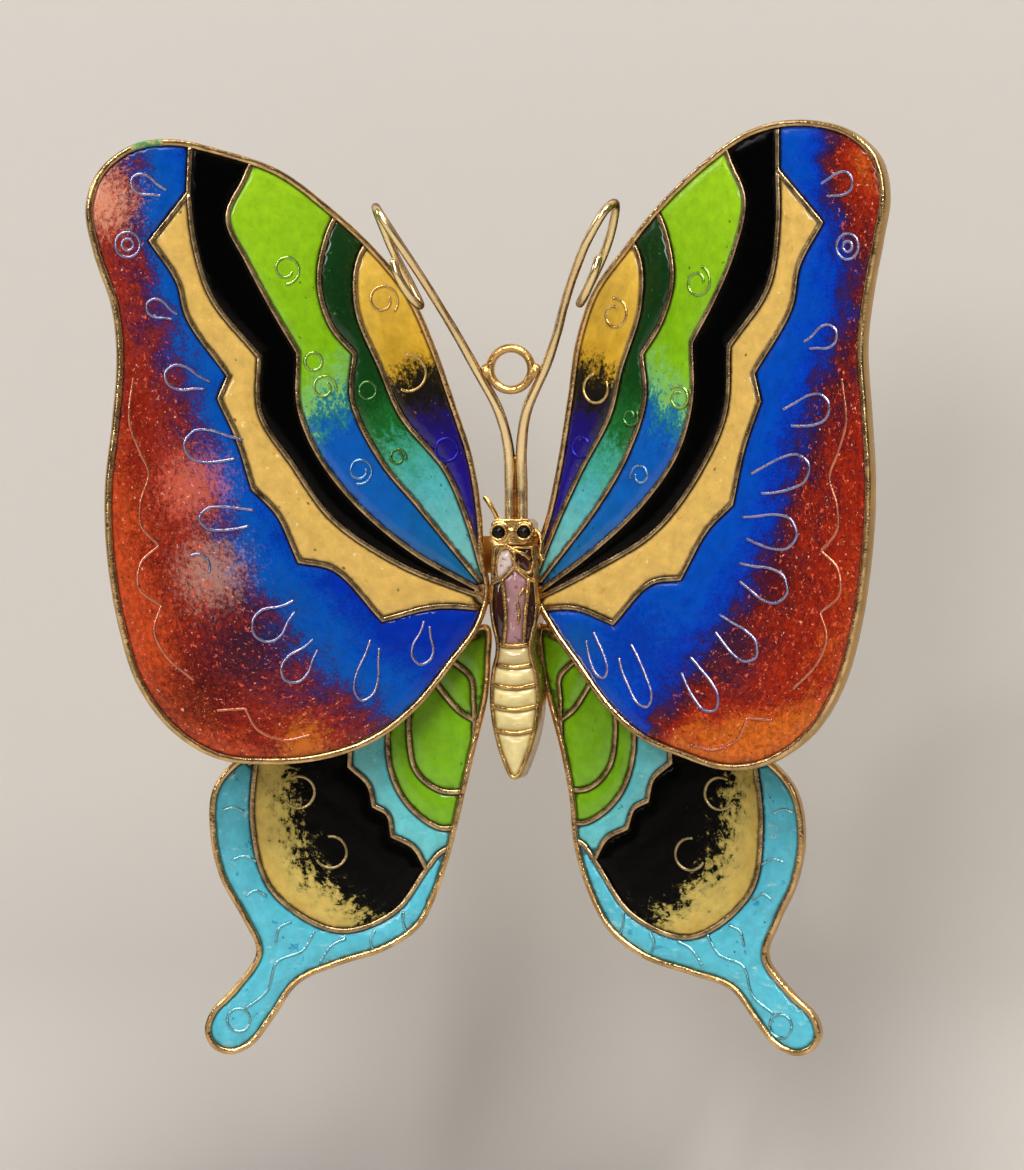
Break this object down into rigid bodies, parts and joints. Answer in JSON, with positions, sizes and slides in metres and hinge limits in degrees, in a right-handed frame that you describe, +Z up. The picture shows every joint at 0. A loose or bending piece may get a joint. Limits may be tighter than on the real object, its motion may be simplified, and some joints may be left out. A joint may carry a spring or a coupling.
{
  "type": "butterfly brooch",
  "caption": "Gilt butterfly brooch with wired enamel wings, coiled antennae, a hanging ring and a hinged pin with a turning safety catch.",
  "frame": {"origin": "on the axis of the pin stem, midway between its hinge and its catch, where the garment holds the brooch", "axes": "+Z up the body to the antennae, -Y out of the enamelled face, +Y into the garment, +X to the right as the face is seen"},
  "size_m": [0.0551, 0.0194, 0.0635],
  "materials": {
    "gilt_metal": "gilt metal, bright on the edges with darker oxidised lines in the recesses",
    "gilt_finding": "gilt metal, plain drawn and cast finding",
    "cobalt_red_enamel": "fired glossy enamel, cobalt blue shading through purple to copper red",
    "cream_enamel": "fired glossy enamel, opaque cream",
    "black_enamel": "fired glossy enamel, black, with speckled ochre on the eyespots",
    "lime_enamel": "fired glossy enamel, lime green, shading to blue on the forewings",
    "dark_green_enamel": "fired glossy enamel, dark green shading to turquoise",
    "amber_violet_enamel": "fired glossy enamel, amber shading through black to violet blue",
    "turquoise_enamel": "fired glossy enamel, pale turquoise with streaks",
    "mauve_enamel": "fired glassy enamel, translucent mauve over metal",
    "brown_enamel": "fired glassy enamel, dark brown",
    "ivory_enamel": "fired glossy enamel, ivory"
  },
  "bodies": {
    "brooch": {"abdomen_band_1": "ivory_enamel", "abdomen_band_2": "ivory_enamel", "abdomen_band_3": "ivory_enamel", "abdomen_tip": "ivory_enamel", "body_shell": "gilt_metal", "brooch_bar": "gilt_finding", "catch_housing": "gilt_finding", "centre_bar_post": "gilt_finding", "head": "gilt_metal", "hinge_bracket": "gilt_finding", "hinge_rivet": "gilt_finding", "left_antenna": "gilt_metal", "left_bar_post": "gilt_finding", "left_eye": "black_enamel", "left_forewing_amber_violet_band": "amber_violet_enamel", "left_forewing_black_band": "black_enamel", "left_forewing_cream_band": "cream_enamel", "left_forewing_dark_green_band": "dark_green_enamel", "left_forewing_lime_blue_band": "lime_enamel", "left_forewing_outer_blue_red": "cobalt_red_enamel", "left_forewing_tray": "gilt_metal", "left_forewing_wires": "gilt_metal", "left_hindwing_eyespot": "black_enamel", "left_hindwing_green_crescent": "lime_enamel", "left_hindwing_inner_turquoise": "turquoise_enamel", "left_hindwing_large_green": "lime_enamel", "left_hindwing_root_green": "lime_enamel", "left_hindwing_small_green": "lime_enamel", "left_hindwing_tail_turquoise": "turquoise_enamel", "left_hindwing_tray": "gilt_metal", "left_hindwing_wires": "gilt_metal", "neck_lens": "ivory_enamel", "pendant_ring": "gilt_metal", "right_antenna": "gilt_metal", "right_bar_post": "gilt_finding", "right_eye": "black_enamel", "right_forewing_amber_violet_band": "amber_violet_enamel", "right_forewing_black_band": "black_enamel", "right_forewing_cream_band": "cream_enamel", "right_forewing_dark_green_band": "dark_green_enamel", "right_forewing_lime_blue_band": "lime_enamel", "right_forewing_outer_blue_red": "cobalt_red_enamel", "right_forewing_tray": "gilt_metal", "right_forewing_wires": "gilt_metal", "right_hindwing_eyespot": "black_enamel", "right_hindwing_green_crescent": "lime_enamel", "right_hindwing_inner_turquoise": "turquoise_enamel", "right_hindwing_large_green": "lime_enamel", "right_hindwing_root_green": "lime_enamel", "right_hindwing_small_green": "lime_enamel", "right_hindwing_tail_turquoise": "turquoise_enamel", "right_hindwing_tray": "gilt_metal", "right_hindwing_wires": "gilt_metal", "thorax_cell_dark_left": "brown_enamel", "thorax_cell_dark_right": "brown_enamel", "thorax_cell_mauve": "mauve_enamel", "thorax_cell_upper_left": "mauve_enamel", "thorax_cell_upper_right": "brown_enamel"},
    "stem": {"pin_stem": "gilt_finding"},
    "sleeve": {"catch_sleeve": "gilt_finding"}
  },
  "joints": [
    {"name": "pin_hinge", "type": "hinge", "parent": "brooch", "child": "stem", "pos_m": [0.0124, 0, 0], "axis": [0, 0, -1], "range_deg": [0, 85]},
    {"name": "catch_turn", "type": "hinge", "parent": "brooch", "child": "sleeve", "pos_m": [-0.0124, 0, 0], "axis": [1, 0, 0], "range_deg": [0, 110]}
  ]
}
